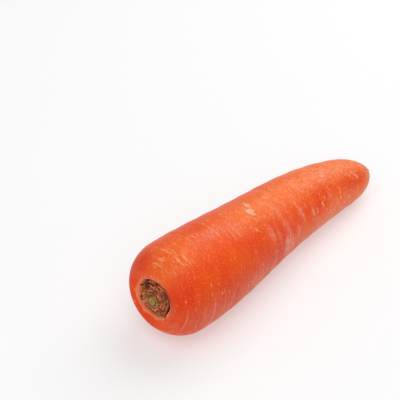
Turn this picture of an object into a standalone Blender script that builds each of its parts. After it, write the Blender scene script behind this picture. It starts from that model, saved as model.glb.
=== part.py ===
# A whole table carrot, trimmed of its leaves and lying on its side.
#
# Metres, +Z up. The crown faces -X and the tip +X. The root rests on a narrow flat under its
# belly at z = 0, and the origin is on the surface below the middle of the carrot.
#
# Each piece is first modelled upright: its axis is local Z, the crown is up, and a depth is a
# distance down from the plane that the shoulder would reach if it closed over the crown. One
# empty then lays the carrot down. A bearing runs round the root: 0 degrees is what is on top
# when it lies, 90 degrees is its -Y side.

import math
import random

import bmesh
import bpy
import numpy as np
from mathutils import Matrix, Vector
from mathutils.geometry import interpolate_bezier

MM = 0.001

# Root: its size and the line of its flank.
SHOULDER_RADIUS = 26.0 * MM
ROOT_LENGTH = 182.0 * MM
# Radius along the root: (share of the length, share of the shoulder radius).
TAPER = ((0.0, 0.985), (0.1, 1.0), (0.2, 1.0), (0.32, 0.93), (0.45, 0.85),
         (0.6, 0.762), (0.75, 0.667), (0.9, 0.517), (1.0, 0.417))
TAPER_DEGREE = 6
HEAD_ROUNDING = 22.3 * MM      # depth over which the shoulder curves in
HEAD_FULLNESS = 2.42           # 2 is an ellipse, more is squarer
TIP_ROUNDING = 20.0 * MM
TIP_FULLNESS = 1.95
ROOT_SIDES = 48
FLANK_RINGS = 50

# Root: its bends. The middle bows towards +Y, a weaker S runs through it, and both ends droop.
BOW = 3.4 * MM
S_BEND = -2.2 * MM
TIP_DROOP = 1.1 * MM
DROOP_START = 0.72             # share of the length
HEAD_DROOP = 0.5 * MM
HEAD_DROOP_END = 30.0 * MM     # depth at which it has died away

# Root: the low relief of its skin.
LOBE_HEIGHT = 0.30 * MM
RING_HEIGHT = 0.10 * MM
RING_COUNT = 13
CREASE_DEPTH = 0.28 * MM
CREASE_WIDTH = 1.6 * MM
CREASE_HALF_LENGTHS = (3.5 * MM, 7.0 * MM)
CREASE_SCATTER = 12.0          # degrees either way round the root
# Groups of short creases across the root: (share of the length, bearing, how many).
CREASE_GROUPS = ((0.06, 0, 3), (0.09, 18, 3), (0.155, -3, 3), (0.24, 8, 3), (0.30, 16, 4),
                 (0.38, 36, 2), (0.11, 105, 4), (0.70, 62, 3), (0.79, 66, 2), (0.53, -6, 2),
                 (0.13, 190, 4), (0.34, 235, 4), (0.56, 170, 3), (0.22, 290, 4), (0.66, 300, 3),
                 (0.82, 215, 3))

# Root: the hollow round the crown, and the stub of the tail.
RIM_RADIUS = 11.2 * MM
RIM_DEPTH = 4.8 * MM
RIM_LIP = 0.5 * MM             # how far the rounded lip runs outside the rim
HOLLOW_DEPTH = 3.2 * MM        # below the rim
HOLLOW_RADIUS = 9.7 * MM
RIM_WAVE = 0.5 * MM
HEAD_JOIN = 4.6 * MM           # depth at which the shoulder starts
CROWN_SHIFT = Vector((-0.15 * MM, 0.15 * MM, 0.0))     # off the root's axis
CROWN_REACH = 17.0 * MM        # radius at which the crown's shift and wave have died away
TAIL_RADIUS = 1.8 * MM
TAIL_LENGTH = 1.7 * MM
TAIL_SCAR = 2.6 * MM           # radius of the scar round the stub

# Crown: heights are above the plane of the hollow's rim.
GAP = 0.3 * MM
DISC_RADIUS = 8.8 * MM
DISC_EDGE = -1.8 * MM
DISC_TOP = -0.2 * MM
SOCKET_RADIUS = 3.5 * MM
SOCKET_FLOOR = -1.2 * MM
# Whorls of leaf bases, outermost first: (how many, radius, height of the cut, half span in degrees).
WHORLS = ((8, 8.0 * MM, 0.0 * MM, 33.0), (7, 6.6 * MM, 0.9 * MM, 37.0), (6, 5.1 * MM, 1.6 * MM, 42.0))
LEAF_BASE_FOOT = -2.5 * MM
LEAF_BASE_THICKNESS = 1.1 * MM
LEAF_BASE_TWIST = 0.45 * MM    # one end of a leaf base lies outside its neighbour
LEAF_BASE_LEAN = 0.12          # outward, for each unit of height
LEAF_BASE_RIPPLE = 0.18 * MM   # along its cut top
STALK_SHIFT = Vector((-1.2 * MM, 0.5 * MM, 0.0))    # the stalks grew a little below the middle
STALK_RADIUS = 1.5 * MM
STALK_TOP = 2.6 * MM
STALK_SIDES = 20
# Young leaf bases wrapped round the middle stalk.
WRAP_COUNT = 3
WRAP_RADIUS = 2.25 * MM
STALK_FOOT_RADIUS = 2.85 * MM
WRAP_TOP = 2.15 * MM
WRAP_FOOT = -0.2 * MM
WRAP_HALF_SPAN = 62.0

# How the carrot lies.
TIP_DOWN = math.radians(5.0)
LYING = Matrix.Rotation(TIP_DOWN - math.radians(90.0), 3, "Y")
BELLY_SINK = 0.5 * MM          # how much of the belly the flat takes away

MERGE_DISTANCE = 0.01 * MM
SEED = 7


def clear_scene():
    for thing in list(bpy.data.objects):
        bpy.data.objects.remove(thing, do_unlink=True)


def new_collection(name):
    collection = bpy.data.collections.new(name)
    bpy.context.scene.collection.children.link(collection)
    return collection


def new_material(name, color, roughness):
    material = bpy.data.materials.new(name)
    material.use_nodes = True
    shader = material.node_tree.nodes["Principled BSDF"]
    shader.inputs["Base Color"].default_value = (*color, 1.0)
    shader.inputs["Roughness"].default_value = roughness
    shader.inputs["Metallic"].default_value = 0.0
    return material


def new_object(name, mesh, collection):
    thing = bpy.data.objects.new(name, mesh)
    collection.objects.link(thing)
    return thing


def bezier(start, start_handle, end_handle, end, count):
    # Points of one Bezier stretch without its first, in (radius, height).
    knots = [Vector((*point, 0.0)) for point in (start, start_handle, end_handle, end)]
    points = interpolate_bezier(*knots, count + 1)
    return [(point.x, point.y) for point in points[1:]]


def smooth_step(low, high, value):
    share = np.clip((value - low) / (high - low), 0.0, 1.0)
    return share * share * (3.0 - 2.0 * share)


def bake_modifiers(thing):
    # Replace the object's mesh by what its modifiers make of it.
    graph = bpy.context.evaluated_depsgraph_get()
    baked = bpy.data.meshes.new_from_object(thing.evaluated_get(graph))
    thing.modifiers.clear()
    thing.data = baked


def turn(name, profile, sides, collection):
    # A closed turned solid. The profile is (radius, height), from the top of the axis outward and down.
    edges = [(index, index + 1) for index in range(len(profile) - 1)]
    mesh = bpy.data.meshes.new(name)
    mesh.from_pydata([(radius, 0.0, height) for radius, height in profile], edges, [])
    thing = new_object(name, mesh, collection)
    screw = thing.modifiers.new("turn", "SCREW")
    screw.steps = sides
    screw.render_steps = sides
    screw.use_merge_vertices = True
    screw.merge_threshold = MERGE_DISTANCE
    bake_modifiers(thing)
    return thing


def read_points(mesh):
    points = np.empty(len(mesh.vertices) * 3)
    mesh.vertices.foreach_get("co", points)
    return points.reshape(-1, 3)


def write_points(mesh, points):
    mesh.vertices.foreach_set("co", points.ravel())
    mesh.update()


def taper(share):
    shares, ratios = zip(*TAPER)
    line = np.polynomial.Polynomial.fit(shares, ratios, TAPER_DEGREE)
    return line(share)


def rounding(share, fullness):
    # 0 at the end of a rounded stretch, 1 where the stretch joins the flank.
    inner = 1.0 - np.clip(share, 0.0, 1.0)
    return (1.0 - inner ** fullness) ** (1.0 / fullness)


def flank_radius(depth):
    head = rounding(depth / HEAD_ROUNDING, HEAD_FULLNESS)
    tip = rounding((ROOT_LENGTH - depth) / TIP_ROUNDING, TIP_FULLNESS)
    return SHOULDER_RADIUS * taper(depth / ROOT_LENGTH) * head * tip


def flank_depths():
    # Close together on the rounded ends, even along the flank.
    head_depths = HEAD_JOIN + (HEAD_ROUNDING - HEAD_JOIN) * np.linspace(0.0, 1.0, 9)[1:] ** 1.3
    tip_start = ROOT_LENGTH - TIP_ROUNDING
    even_depths = np.linspace(HEAD_ROUNDING, tip_start, FLANK_RINGS)[1:]
    tip_angles = np.radians(np.linspace(0.0, 75.0, 9)[1:])
    tip_depths = tip_start + TIP_ROUNDING * np.sin(tip_angles)
    return np.concatenate((head_depths, even_depths, tip_depths))


def hollow_profile():
    # The floor of the hollow, its wall and the rounded rim.
    floor = -RIM_DEPTH - HOLLOW_DEPTH
    points = [(share * HOLLOW_RADIUS, floor) for share in (0.0, 0.3, 0.6)]
    edge = (0.95 * HOLLOW_RADIUS, floor)
    lip = (RIM_RADIUS + RIM_LIP, -RIM_DEPTH)
    middle = 0.5 * (HOLLOW_RADIUS + RIM_RADIUS)
    wall = bezier(edge, (middle, floor), (middle, -RIM_DEPTH), lip, 6)
    return points + [edge] + wall


def shoulder_top_profile(lip):
    # From the rim's lip over the highest ring of the head, to where the shoulder starts.
    join = Vector((flank_radius(HEAD_JOIN), -HEAD_JOIN))
    below = Vector((flank_radius(HEAD_JOIN + MM), -HEAD_JOIN - MM))
    slope = (join - below).normalized()
    reach = 0.45 * (join.x - lip[0])
    lip_handle = (lip[0] + 0.6 * reach, lip[1] + 0.1 * reach)
    return bezier(lip, lip_handle, join + slope * reach, join, 7)


def tail_profile():
    # The scar round the tail and the short broken stub.
    return [(TAIL_RADIUS, -ROOT_LENGTH + 0.1 * MM),
            (0.95 * TAIL_RADIUS, -ROOT_LENGTH - 0.6 * TAIL_LENGTH),
            (0.6 * TAIL_RADIUS, -ROOT_LENGTH - TAIL_LENGTH),
            (0.0, -ROOT_LENGTH - 0.9 * TAIL_LENGTH)]


def root_profile():
    points = hollow_profile()
    points += shoulder_top_profile(points[-1])
    points += [(flank_radius(depth), -depth) for depth in flank_depths()]
    points.append((TAIL_SCAR, -flank_depths()[-1] - 0.3 * MM))
    return points + tail_profile()


def crease_list():
    # (depth, bearing, half length in radians, strength) of each crease, each on a ring of the mesh.
    draw = random.Random(SEED)
    rings = flank_depths()
    creases = []
    for share, bearing, count in CREASE_GROUPS:
        first = int(np.abs(rings - share * ROOT_LENGTH).argmin())
        for index in range(count):
            depth = rings[(first + 2 * index) % len(rings)]
            middle = math.radians(bearing + draw.uniform(-CREASE_SCATTER, CREASE_SCATTER))
            half_length = draw.uniform(*CREASE_HALF_LENGTHS) / flank_radius(depth)
            creases.append((depth, middle, half_length, draw.uniform(0.6, 1.0)))
    return creases


def crease_relief(depth, bearing):
    relief = np.zeros_like(depth)
    for ring, middle, half_length, strength in crease_list():
        along = (bearing - middle + math.pi) % (2.0 * math.pi) - math.pi
        ends = np.clip(1.0 - (along / half_length) ** 2, 0.0, 1.0)
        across = np.exp(-((depth - ring) / CREASE_WIDTH) ** 2)
        relief -= CREASE_DEPTH * strength * ends * across
    return relief


def skin_relief(depth, bearing):
    # How far the skin stands off a plain turned root: soft lobes, growth rings and creases.
    share = depth / ROOT_LENGTH
    lobes = (0.5 * np.sin(2.0 * bearing + 1.0 + 1.5 * share)
             + 0.6 * np.sin(3.0 * bearing + 0.7 + 2.2 * share)
             + 0.4 * np.sin(5.0 * bearing + 2.1 - 3.0 * share))
    wander = 0.8 * np.sin(bearing + 0.5) + 0.4 * np.sin(3.0 * bearing)
    turns = 2.0 * math.pi * RING_COUNT * share
    rings = np.sin(turns + wander) + 0.6 * np.sin(1.7 * turns + 1.0)
    return LOBE_HEIGHT * lobes + RING_HEIGHT * rings + crease_relief(depth, bearing)


def shape_root(mesh):
    points = read_points(mesh)
    depth = -points[:, 2]
    radius = np.hypot(points[:, 0], points[:, 1])
    bearing = np.arctan2(-points[:, 1], points[:, 0])
    across = points[:, :2] / np.maximum(radius, MERGE_DISTANCE)[:, None]

    on_flank = smooth_step(HEAD_JOIN, HEAD_ROUNDING, depth)
    before_tail = smooth_step(0.0, TIP_ROUNDING, ROOT_LENGTH - depth)
    relief = skin_relief(depth, bearing) * on_flank * before_tail

    at_head = depth < 0.5 * HEAD_ROUNDING
    by_crown = at_head * (1.0 - smooth_step(RIM_RADIUS + RIM_LIP, CROWN_REACH, radius))
    wall = by_crown * smooth_step(0.5 * HOLLOW_RADIUS, HOLLOW_RADIUS, radius)
    wave = (0.5 * np.sin(2.0 * bearing + 0.4)
            + 0.3 * np.sin(5.0 * bearing)
            + 0.2 * np.sin(8.0 * bearing + 1.3))
    points[:, :2] += across * (relief + RIM_WAVE * wave * wall)[:, None]
    above_floor = smooth_step(-RIM_DEPTH - HOLLOW_DEPTH, -RIM_DEPTH, points[:, 2])
    points[:, 2] += RIM_WAVE * np.sin(3.0 * bearing + 1.9) * wall * above_floor

    share = np.clip(depth / ROOT_LENGTH, 0.0, 1.0)
    crown_shift = CROWN_SHIFT + Vector((HEAD_DROOP, 0.0, 0.0))
    head_droop = HEAD_DROOP * (1.0 - smooth_step(RIM_DEPTH + HOLLOW_DEPTH, HEAD_DROOP_END, depth))
    tip_droop = TIP_DROOP * smooth_step(DROOP_START, 1.0, share)
    bend = BOW * np.sin(math.pi * share) + S_BEND * np.sin(2.0 * math.pi * share)
    points[:, 0] += crown_shift.x * by_crown - head_droop - tip_droop
    points[:, 1] += crown_shift.y * by_crown + bend
    write_points(mesh, points)


def flatten_belly(mesh):
    # Press the underside, as it will lie, into a narrow flat. Gives the height of that flat.
    points = read_points(mesh)
    lying = np.array(LYING)
    heights = points @ lying[2]
    floor = heights.min() + BELLY_SINK
    points += np.outer(np.maximum(floor - heights, 0.0), lying[2])
    write_points(mesh, points)
    return floor


def make_taproot(collection):
    root = turn("taproot", root_profile(), ROOT_SIDES, collection)
    shape_root(root.data)
    return root


def make_leaf_base(name, middle, radius, top, foot, half_span, draw, collection):
    # One cut leaf base: a thin lens bent round the crown, its foot below the disc's surface.
    shape = bmesh.new()
    bmesh.ops.create_uvsphere(shape, u_segments=6, v_segments=10, radius=1.0)
    ripple = draw.uniform(0.0, 2.0 * math.pi)
    for vert in shape.verts:
        along = vert.co.z
        upward = math.copysign(abs(vert.co.y) ** 0.7, vert.co.y)
        ragged = LEAF_BASE_RIPPLE * math.sin(7.0 * along + ripple) * max(upward, 0.0)
        height = foot + (top - foot) * 0.5 * (1.0 + upward) + ragged
        lean = LEAF_BASE_LEAN * (height - foot)
        distance = radius + LEAF_BASE_TWIST * along + lean + 0.5 * LEAF_BASE_THICKNESS * vert.co.x
        angle = middle + half_span * along
        vert.co = (distance * math.cos(angle), distance * math.sin(angle), height)
    bmesh.ops.recalc_face_normals(shape, faces=shape.faces)
    mesh = bpy.data.meshes.new(name)
    shape.to_mesh(mesh)
    shape.free()
    return new_object(name, mesh, collection)


def keep_outer_shell(mesh):
    # Fill the small hollows that fusing sealed in, by removing every shell but the largest.
    shape = bmesh.new()
    shape.from_mesh(mesh)
    unseen = set(shape.verts)
    shells = []
    while unseen:
        front = [unseen.pop()]
        shell = list(front)
        while front:
            vert = front.pop()
            found = [edge.other_vert(vert) for edge in vert.link_edges]
            fresh = {other for other in found if other in unseen}
            unseen -= fresh
            front.extend(fresh)
            shell.extend(fresh)
        shells.append(shell)
    shells.sort(key=len)
    scraps = [vert for shell in shells[:-1] for vert in shell]
    bmesh.ops.delete(shape, geom=scraps, context="VERTS")
    shape.to_mesh(mesh)
    shape.free()


def fuse(thing, collection):
    # One Boolean union of the object with everything in the collection, which is then removed.
    union = thing.modifiers.new("fuse", "BOOLEAN")
    union.operation = "UNION"
    union.operand_type = "COLLECTION"
    union.collection = collection
    union.solver = "EXACT"
    bake_modifiers(thing)
    keep_outer_shell(thing.data)
    for piece in list(collection.objects):
        bpy.data.objects.remove(piece, do_unlink=True)
    bpy.data.collections.remove(collection)


def draw_off_centre(mesh):
    # Carry the socket and the inner leaf bases to the stalks, and leave the disc's edge in place.
    points = read_points(mesh)
    radius = np.hypot(points[:, 0], points[:, 1])
    inner = 1.0 - smooth_step(SOCKET_RADIUS + 0.2 * MM, DISC_RADIUS, radius)
    points += inner[:, None] * np.array(STALK_SHIFT)
    write_points(mesh, points)


def make_leaf_bases(collection):
    # A low disc that fills the hollow, with a socket for the stalks and three whorls of leaf bases.
    floor = GAP - HOLLOW_DEPTH
    profile = [(0.0, SOCKET_FLOOR),
               (SOCKET_RADIUS, SOCKET_FLOOR),
               (SOCKET_RADIUS + 0.2 * MM, DISC_TOP),
               (0.5 * (SOCKET_RADIUS + DISC_RADIUS), 0.5 * (DISC_TOP + DISC_EDGE) + 0.2 * MM),
               (DISC_RADIUS, DISC_EDGE),
               (DISC_RADIUS, floor),
               (0.0, floor)]
    disc = turn("leaf_bases", profile, ROOT_SIDES, collection)
    scales = new_collection("scales")
    draw = random.Random(SEED + 1)
    for whorl, (count, radius, top, half_span) in enumerate(WHORLS):
        for index in range(count):
            turned = 360.0 * index / count + 25.0 * whorl + draw.uniform(-7.0, 7.0)
            place = radius + draw.uniform(-0.2, 0.2) * MM
            cut = top + draw.uniform(-0.4, 0.4) * MM
            make_leaf_base(f"scale_{whorl}_{index}", math.radians(turned), place, cut,
                           LEAF_BASE_FOOT, math.radians(half_span), draw, scales)
    fuse(disc, scales)
    draw_off_centre(disc.data)
    return disc


def make_stalk_core(collection):
    # The cut middle stalk on its foot, with the youngest leaf bases round it.
    foot = SOCKET_FLOOR + GAP
    profile = [(0.0, STALK_TOP - 0.35 * MM),
               (0.4 * STALK_RADIUS, STALK_TOP - 0.2 * MM),
               (0.75 * STALK_RADIUS, STALK_TOP),
               (STALK_RADIUS, STALK_TOP - 0.4 * MM),
               (1.05 * STALK_RADIUS, 1.2 * MM),
               (STALK_FOOT_RADIUS - 0.4 * MM, 0.3 * MM),
               (STALK_FOOT_RADIUS, -0.3 * MM),
               (STALK_FOOT_RADIUS, foot),
               (0.0, foot)]
    stalk = turn("stalk_core", profile, STALK_SIDES, collection)
    wraps = new_collection("wraps")
    draw = random.Random(SEED + 2)
    for index in range(WRAP_COUNT):
        turned = math.radians(360.0 * index / WRAP_COUNT + draw.uniform(-15.0, 15.0))
        cut = WRAP_TOP + draw.uniform(-0.25, 0.25) * MM
        make_leaf_base(f"wrap_{index}", turned, WRAP_RADIUS, cut,
                       WRAP_FOOT, math.radians(WRAP_HALF_SPAN), draw, wraps)
    fuse(stalk, wraps)
    return stalk


def seat(piece, carrot, place, material):
    piece.parent = carrot
    piece.location = place
    piece.data.materials.clear()
    piece.data.materials.append(material)
    piece.data.shade_smooth()
    piece.data.set_sharp_from_angle(angle=math.radians(60.0))


def lay_down(carrot, pieces, floor):
    # Turn the carrot onto its belly, and bring the middle of its box over the origin.
    corners = []
    for piece in pieces:
        points = read_points(piece.data) + np.array(piece.location)
        corners.append(points @ np.array(LYING).T)
    corners = np.concatenate(corners)
    middle = 0.5 * (corners.min(axis=0) + corners.max(axis=0))
    carrot.rotation_euler = LYING.to_euler()
    carrot.location = (-middle[0], -middle[1], -floor)


def main():
    clear_scene()
    collection = new_collection("carrot")
    skin = new_material("root_skin", (0.76, 0.10, 0.02), 0.42)
    dry_leaf = new_material("dry_leaf_base", (0.26, 0.10, 0.035), 0.75)
    green_stalk = new_material("green_stalk", (0.27, 0.20, 0.04), 0.65)

    carrot = new_object("carrot_axis", None, collection)
    taproot = make_taproot(collection)
    floor = flatten_belly(taproot.data)
    leaf_bases = make_leaf_bases(collection)
    stalk_core = make_stalk_core(collection)

    crown = CROWN_SHIFT + Vector((0.0, 0.0, -RIM_DEPTH))
    seat(taproot, carrot, Vector((0.0, 0.0, 0.0)), skin)
    seat(leaf_bases, carrot, crown, dry_leaf)
    seat(stalk_core, carrot, crown + STALK_SHIFT, green_stalk)
    lay_down(carrot, (taproot, leaf_bases, stalk_core), floor)


main()
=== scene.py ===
import math

import bmesh
import bpy
import numpy as np
from mathutils import Matrix, Vector
from mathutils.bvhtree import BVHTree


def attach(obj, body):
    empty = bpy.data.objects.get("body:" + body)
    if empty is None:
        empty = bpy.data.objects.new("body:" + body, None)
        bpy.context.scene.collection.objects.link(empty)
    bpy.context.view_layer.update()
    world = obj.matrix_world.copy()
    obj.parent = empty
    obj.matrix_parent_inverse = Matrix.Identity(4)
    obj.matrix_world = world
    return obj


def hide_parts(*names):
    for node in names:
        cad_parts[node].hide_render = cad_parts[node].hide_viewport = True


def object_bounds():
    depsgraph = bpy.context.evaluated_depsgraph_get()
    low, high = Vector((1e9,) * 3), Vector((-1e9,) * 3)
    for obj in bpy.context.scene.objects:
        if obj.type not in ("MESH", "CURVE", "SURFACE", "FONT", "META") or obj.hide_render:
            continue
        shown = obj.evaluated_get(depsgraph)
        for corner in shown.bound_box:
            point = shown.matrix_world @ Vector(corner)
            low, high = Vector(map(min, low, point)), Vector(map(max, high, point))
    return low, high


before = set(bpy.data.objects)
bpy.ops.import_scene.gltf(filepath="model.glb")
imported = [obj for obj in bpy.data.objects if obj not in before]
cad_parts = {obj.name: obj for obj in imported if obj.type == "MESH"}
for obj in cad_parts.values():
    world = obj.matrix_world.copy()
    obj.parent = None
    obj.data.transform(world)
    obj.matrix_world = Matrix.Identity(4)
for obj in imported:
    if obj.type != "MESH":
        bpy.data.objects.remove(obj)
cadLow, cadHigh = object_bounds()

mm = 0.001
fullTurn = 2 * math.pi
scene = bpy.context.scene
boxMiddle = (cadLow + cadHigh) / 2

# how the carrot lies: built upright with its crown up, then laid on its side
lie = {
    "headPoint": (-0.0925, 0.0001, 0.0290),  # top of the head, on the root's own line
    "tipDown": 5.0,  # degrees that the tip dips
    "length": 182 * mm,
    "bow": 3.4 * mm,
    "sBend": -2.2 * mm,
    "crown": (-0.15 * mm, 0.15 * mm, -4.8 * mm),  # middle of the crown, level with its rim
}
layDown = Matrix.Translation(lie["headPoint"]) @ Matrix.Rotation(math.radians(lie["tipDown"] - 90), 4, "Y")


def srgb(red, green, blue):
    # a picked colour, as the linear value a shader wants
    parts = [c / 255 for c in (red, green, blue)]
    return tuple(c / 12.92 if c <= 0.04045 else ((c + 0.055) / 1.055) ** 2.4 for c in parts) + (1,)


def smooth(low, high, value):
    t = np.clip((value - low) / (high - low), 0, 1)
    return t * t * (3 - 2 * t)


def hump(value, middle, reach):
    # 1 at the middle, dying away on both sides
    return np.exp(-(((value - middle) / reach) ** 2))


def halfTurns(angle, degrees=0):
    # how far an angle is from a bearing in degrees, within half a turn
    return (angle - math.radians(degrees) + math.pi) % fullTurn - math.pi


def softNoise(seed, rows, columns, x, y):
    # soft random hills between 0 and 1; x runs free, y wraps after one turn
    table = np.random.default_rng(seed).random((rows + 2, columns))
    down = np.clip(x, 0, 1) * rows
    across = (y % 1.0) * columns
    i = np.floor(down).astype(int)
    j = np.floor(across).astype(int)
    fx = smooth(0, 1, down - i)
    fy = smooth(0, 1, across - j)
    low, high = [table[k, j % columns] * (1 - fy) + table[k, (j + 1) % columns] * fy for k in (i, i + 1)]
    return low * (1 - fx) + high * fx


def hills(layers, x, y):
    # layers of soft noise about zero, each with its seed, rows, columns and weight
    return sum(weight * (softNoise(*layer, x, y) - 0.5) for *layer, weight in layers)


def polar(radius, turns, z, x=0, y=0):
    # points by how far they are from (x, y), which way, and how high
    return np.stack(np.broadcast_arrays(x + radius * np.cos(turns), y + radius * np.sin(turns), z), -1)


def addObject(name, data):
    thing = bpy.data.objects.new(name, data)
    scene.collection.objects.link(thing)
    return thing


def addPointValues(mesh, name, values):
    values = np.array(values, np.float32)
    kind, slot = ("FLOAT", "value") if values.ndim == 1 else ("FLOAT_VECTOR", "vector")
    mesh.attributes.new(name, kind, "POINT").data.foreach_set(slot, values.ravel())


def readPoints(values, name):
    flat = np.empty(len(values) * 3, np.float32)
    values.foreach_get(name, flat)
    return flat.reshape(-1, 3).astype(float)


class Wiring:
    # wires up one material; what its layers find is kept by name for the ones after them
    def __init__(self, name, placeName=""):
        self.placeName = placeName
        self.found = {}
        self.material = bpy.data.materials.new(name)
        self.material.use_nodes = True
        self.tree = self.material.node_tree
        self.tree.nodes.clear()
        self.shader = self.node("BsdfPrincipled", {})
        self.node("OutputMaterial", {"Surface": self.shader.outputs[0]})

    def feed(self, node, inputs):
        # each input takes either a wire or a plain value
        for name, value in inputs.items():
            if isinstance(value, bpy.types.NodeSocket):
                self.tree.links.new(value, node.inputs[name])
            else:
                node.inputs[name].default_value = value

    def node(self, kind, inputs, **settings):
        node = self.tree.nodes.new("ShaderNode" + kind)
        for name, value in settings.items():
            setattr(node, name, value)
        self.feed(node, inputs)
        return node

    def finish(self, inputs):
        self.feed(self.shader, inputs)
        return self.material

    def named(self, name):
        # what a layer found, or else a value kept on the mesh's points
        if name not in self.found:
            self.found[name] = self.node("Attribute", {}, attribute_name=name).outputs["Fac"]
        return self.found[name]

    def vector(self, operation, *inputs, output=0):
        return self.node("VectorMath", dict(enumerate(inputs)), operation=operation).outputs[output]

    def place(self, stretch=(1, 1, 1), shift=(0, 0, 0)):
        found = self.node("Attribute", {}, attribute_name=self.placeName).outputs["Vector"]
        return self.vector("MULTIPLY_ADD", found, stretch, shift)

    def noise(self, where, scale, detail=3, rough=0.5, warp=0, output="Fac"):
        inputs = {"Vector": where, "Scale": scale, "Detail": detail, "Roughness": rough, "Distortion": warp}
        return self.node("TexNoise", inputs).outputs[output]

    def wobble(self, where, scale, amount):
        # shoves the place about a little, so that nothing comes out round
        return self.vector("MULTIPLY_ADD", self.noise(where, scale, output="Color"), [amount] * 3, where)

    def math(self, operation, a, b, clamp=False):
        return self.node("Math", {0: a, 1: b}, operation=operation, use_clamp=clamp).outputs[0]

    def times(self, a, b):
        return self.math("MULTIPLY", a, b)

    def sway(self, value, noise, amount):
        # pushes a value up and down by noise about its middle
        return self.math("ADD", value, self.times(self.math("SUBTRACT", noise, 0.5), amount))

    def span(self, value, low, high, least=0, most=1):
        # eases value from least at low to most at high
        inputs = {"Value": value, "From Min": low, "From Max": high, "To Min": least, "To Max": most}
        return self.node("MapRange", inputs, interpolation_type="SMOOTHSTEP").outputs["Result"]

    def mix(self, amount, under, over):
        return self.node("Mix", {0: amount, 6: under, 7: over}, data_type="RGBA").outputs[2]

    def bump(self, height, distance, strength, **below):
        inputs = {"Height": height, "Distance": distance, "Strength": strength, **below}
        return self.node("Bump", inputs).outputs[0]

    def amount(self, layer):
        # how strongly a layer shows at each point
        if {"noise", "spots", "torn"} & layer.keys():
            where = self.place(layer.get("stretch", (1, 1, 1)), layer.get("shift", (0, 0, 0)))
        if "wobble" in layer:
            where = self.wobble(where, *layer["wobble"])
        if "from" in layer:
            found = self.named(layer["from"])
        elif "near" in layer:  # how far off a point of the crown, seen from above
            found = self.vector("DISTANCE", self.place((1, 1, 0)), (*layer["near"], 0), output="Value")
        elif "spots" in layer:
            spots = self.node("TexVoronoi", {"Vector": where, "Scale": layer["spots"]}).outputs
            found = spots["Distance"]
            if "sizes" in layer:  # spots of all sizes, most of them small
                size = self.times(self.math("POWER", spots["Color"], 2), layer["sizes"])
                found = self.math("SUBTRACT", found, size)
        else:
            found = self.noise(where, *layer["noise"])
        if "torn" in layer:
            amount, *noise = layer["torn"]
            found = self.sway(found, self.noise(where, *noise), amount)
        if "levels" in layer:
            found = self.span(found, *layer["levels"])
        for name, levels in layer.get("gates", {}).items():
            found = self.times(found, self.span(self.named(name), *levels))
        if "by" in layer:
            found = self.times(found, self.named(layer["by"]))
        if "share" in layer:
            found = self.times(found, layer["share"])
        return found

    def paint(self, colour, layers):
        # lays each layer with a tint over the last one; two tints are mixed by noise
        colour = srgb(*colour)
        for name, layer in layers.items():
            self.found[name] = self.amount(layer)
            if "tint" in layer:
                colour = self.mix(self.found[name], colour, srgb(*layer["tint"]))
            if "tints" in layer:
                tints = [srgb(*tint) for tint in layer["tints"]]
                tinted = self.mix(self.amount(layer["tones"]), *tints)
                colour = self.mix(self.found[name], colour, tinted)
        self.feed(self.shader, {"Base Color": colour})


print("stage 1: camera")
sight = {
    "azimuth": -46.04,
    "elevation": 38.34,
    "roll": -0.58,
    "distance": 0.6964,
    "aim": (-0.0204, 0.0319, 0.0095),  # from the middle of the carrot's box
    "lens": 114.47,
    "sensor": 36,
    "clip": (0.01, 20),
}


def makeCamera():
    a = math.radians(sight["azimuth"])
    e = math.radians(sight["elevation"])
    back = Vector((math.sin(a) * math.cos(e), -math.cos(a) * math.cos(e), math.sin(e)))
    camera = addObject("camera", bpy.data.cameras.new("camera"))
    camera.data.lens = sight["lens"]
    camera.data.sensor_width = sight["sensor"]
    camera.data.clip_start, camera.data.clip_end = sight["clip"]
    roll = Matrix.Rotation(math.radians(sight["roll"]), 3, "Z")
    turn = (-back).to_track_quat("-Z", "Y").to_matrix() @ roll
    spot = boxMiddle + Vector(sight["aim"]) + back * sight["distance"]
    camera.matrix_world = Matrix.Translation(spot) @ turn.to_4x4()
    scene.camera = camera


makeCamera()

print("stage 2: the root's skin")
skin = {
    "columns": 156,
    "floorRows": 12,  # floor of the hollow, mostly covered
    "rimRows": 26,  # wall and lip of the hollow
    "headRows": 82,
    "flankRows": 430,
    "tipRows": 50,
    "firstRing": 0.4 * mm,
    "floorReach": 9.0 * mm,
    "rimReach": 12.6 * mm,
    "dropFrom": 10 * mm,  # over the crown
    "castFrom": 60 * mm,  # away from the root's line
    "headPole": 40 * mm,  # depth that the head's rows are aimed at
    "tipPole": 168 * mm,
    "tipCrowding": 0.85,
    "tipEnd": 0.995,  # how near the last row comes to the end of the tip
    "around": 20.0,  # mm; every ring is painted as one this big, so that marks keep their size
    # relief in mm; soft noise as seed, rows, columns, weight
    "wrinkles": ((21, 90, 5, 0.035), (22, 170, 9, 0.021)),
    "calmNoise": (23, 9, 5),
    "calm": (0.3, 1.1),  # wrinkles where it is calmest, and how much more elsewhere
    "dents": ((24, 26, 16, 0.06),),
    "creaseDepth": 0.13,
    "chipDepth": 0.2,
    "callusLumps": ((25, 300, 46, 0.22), (26, 150, 23, 0.22)),
    "scarLumps": ((27, 260, 60, 0.5),),
    "splitDepth": 0.5,
    "headEase": 6 * mm,  # no relief in the very middle of the hollow
    # marks
    "dashSpread": 2.1,  # a dash fades out over its width, so it is laid wider
    "fray": ((31, 330, 90, 0.9 * mm),),
    "leastRadius": 1 * mm,
    "slant": 0.1,  # of a chip or a bloom
    "seed": 11,
}

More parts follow.
